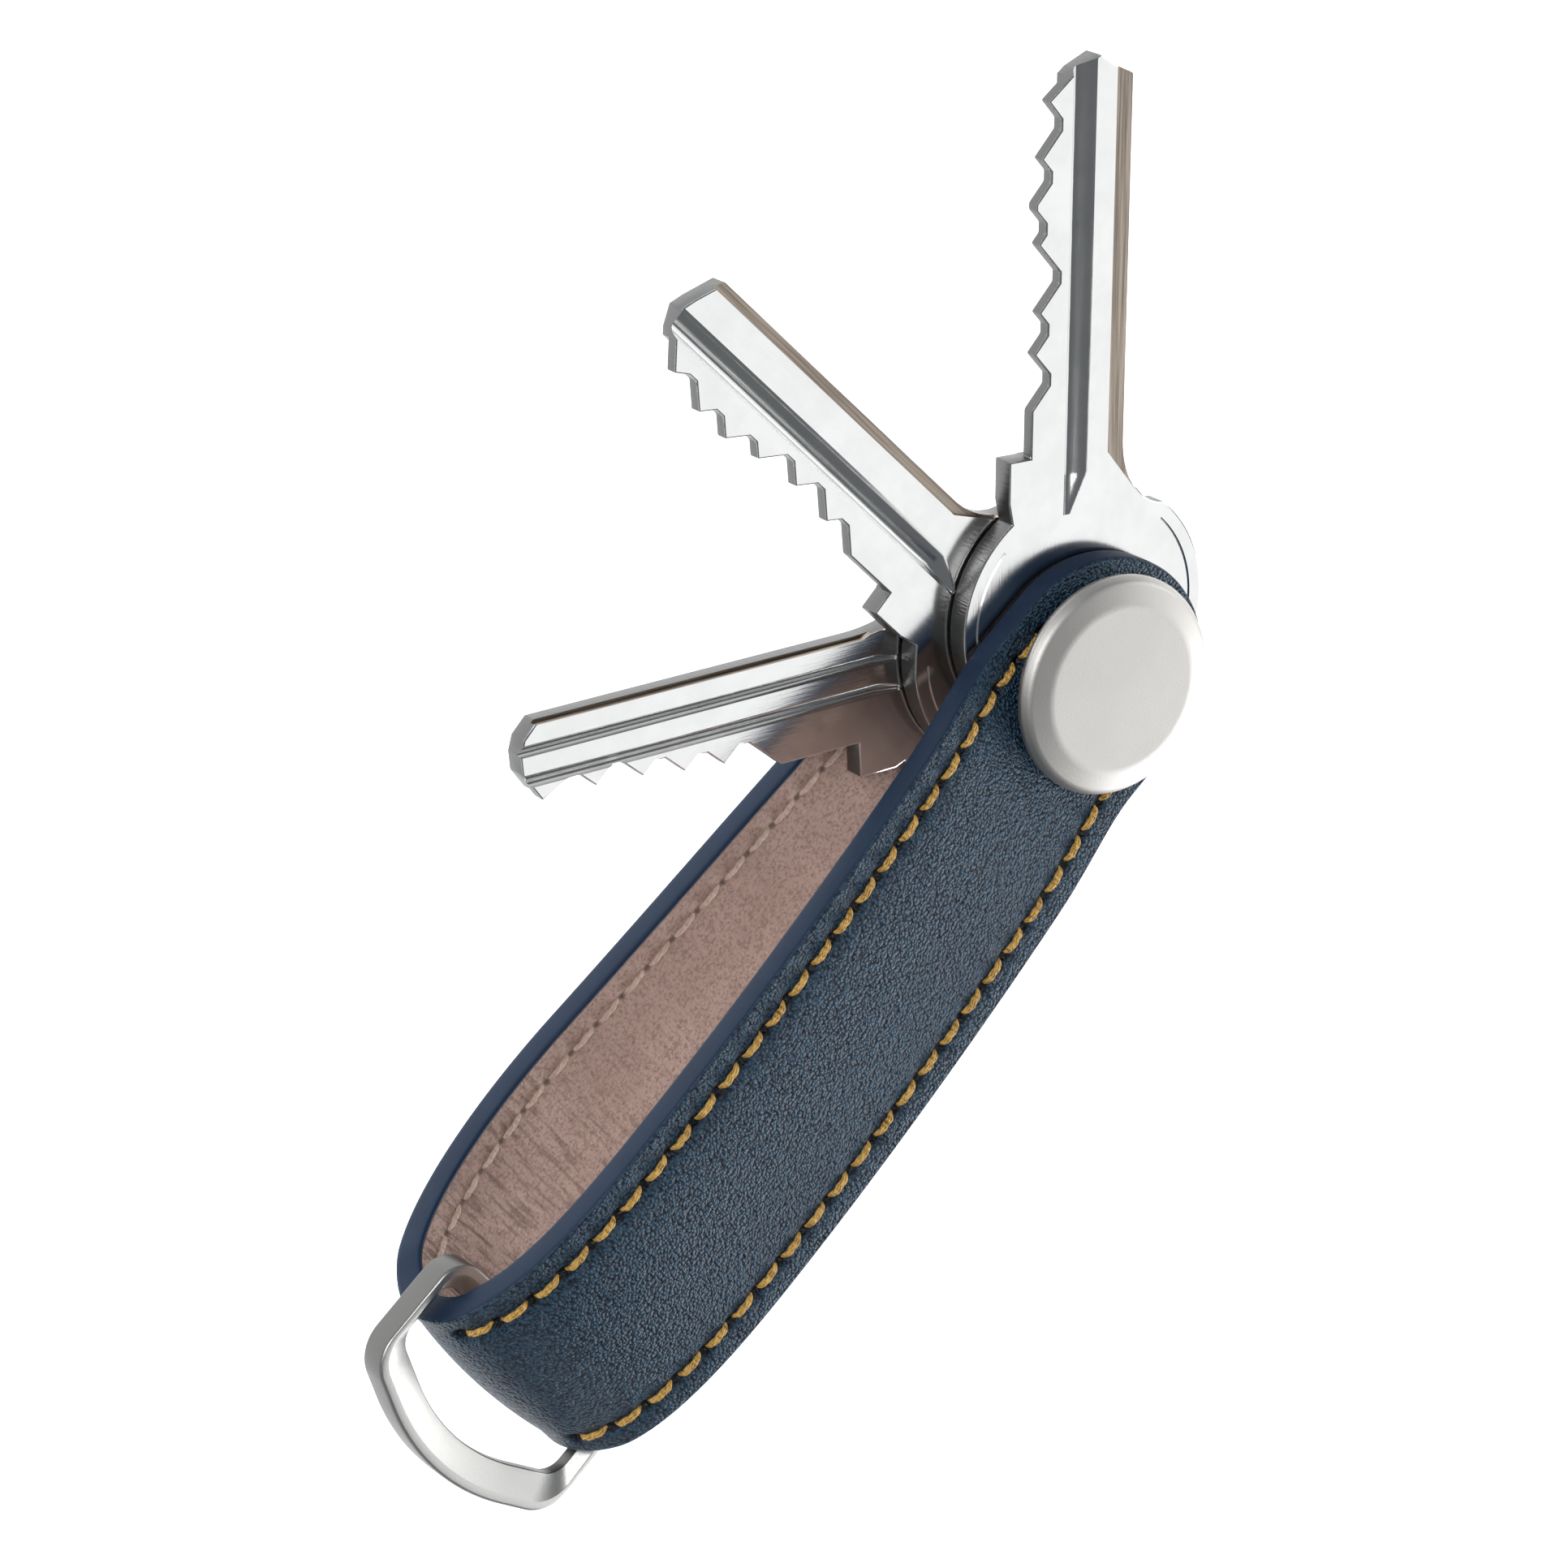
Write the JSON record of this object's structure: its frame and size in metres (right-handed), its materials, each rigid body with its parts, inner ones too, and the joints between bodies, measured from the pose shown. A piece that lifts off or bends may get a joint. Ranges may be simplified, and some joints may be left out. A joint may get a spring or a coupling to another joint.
{
  "type": "leather key organiser",
  "caption": "Stitched leather strap looped round a stack of keys on a locking pivot, with a D-ring in its bend; the keys swing out one by one.",
  "frame": {"origin": "centre of the front cap's flat face, on the pivot axis", "axes": "+Z along the pivot axis, out of the front cap; +X along the strap from the D-ring towards the pivot; the keys swing out towards +Y"},
  "size_m": [0.1206, 0.0638, 0.0217],
  "materials": {
    "outer_leather": "fine-grained leather, painted edges",
    "lining_leather": "soft nubuck-like lining",
    "core_sheet": "bonded fibre sheet, sealed between the leathers",
    "gold_thread": "bonded polyester thread",
    "tan_thread": "bonded polyester thread",
    "satin_steel": "bead-blasted",
    "nylon": "plain",
    "spring_steel": "spring temper",
    "plated_key": "nickel plated, lightly brushed"
  },
  "bodies": {
    "organiser": {"outer_leather": "outer_leather", "lining_leather": "lining_leather", "core_sheet": "core_sheet", "front_top_thread": "gold_thread", "front_bobbin_thread": "tan_thread", "back_top_thread": "gold_thread", "back_bobbin_thread": "tan_thread", "front_cap": "satin_steel", "threaded_sleeve": "satin_steel", "front_washer": "nylon", "front_spacer_washer": "nylon", "back_spacer_washer": "nylon", "back_washer": "nylon", "tension_washer": "spring_steel"},
    "key_1": {"key_1": "plated_key"},
    "key_2": {"key_2": "plated_key"},
    "key_3": {"key_3": "plated_key"},
    "screw_washer": {"screw_washer": "nylon"},
    "locking_screw": {"locking_screw": "satin_steel"},
    "d_ring": {"d_ring": "satin_steel"}
  },
  "joints": [
    {"name": "key_1_swing", "type": "hinge", "parent": "organiser", "child": "key_1", "pos_m": [0, 0, -0.00665], "axis": [0, 0, 1], "continuous": true},
    {"name": "key_2_swing", "type": "hinge", "parent": "organiser", "child": "key_2", "pos_m": [0, 0, -0.00905], "axis": [0, 0, 1], "continuous": true},
    {"name": "key_3_swing", "type": "hinge", "parent": "organiser", "child": "key_3", "pos_m": [0, 0, -0.01145], "axis": [0, 0, 1], "continuous": true},
    {"name": "d_ring_swing", "type": "hinge", "parent": "organiser", "child": "d_ring", "pos_m": [-0.0714, 0, -0.0061], "axis": [0, 1, 0], "range_deg": [-58, 80]},
    {"name": "screw_washer_travel", "type": "slide", "parent": "organiser", "child": "screw_washer", "axis": [0, 0, -1], "range_m": [0, 0.0042]},
    {"name": "locking_screw_turn", "type": "hinge", "parent": "screw_washer", "child": "locking_screw", "pos_m": [0, 0, -0.01615], "axis": [0, 0, -1], "range_deg": [0, 2160]}
  ],
  "couplings": [
    {"joint": "screw_washer_travel", "follows": "locking_screw_turn", "m_per_rad": 0.0001114}
  ]
}
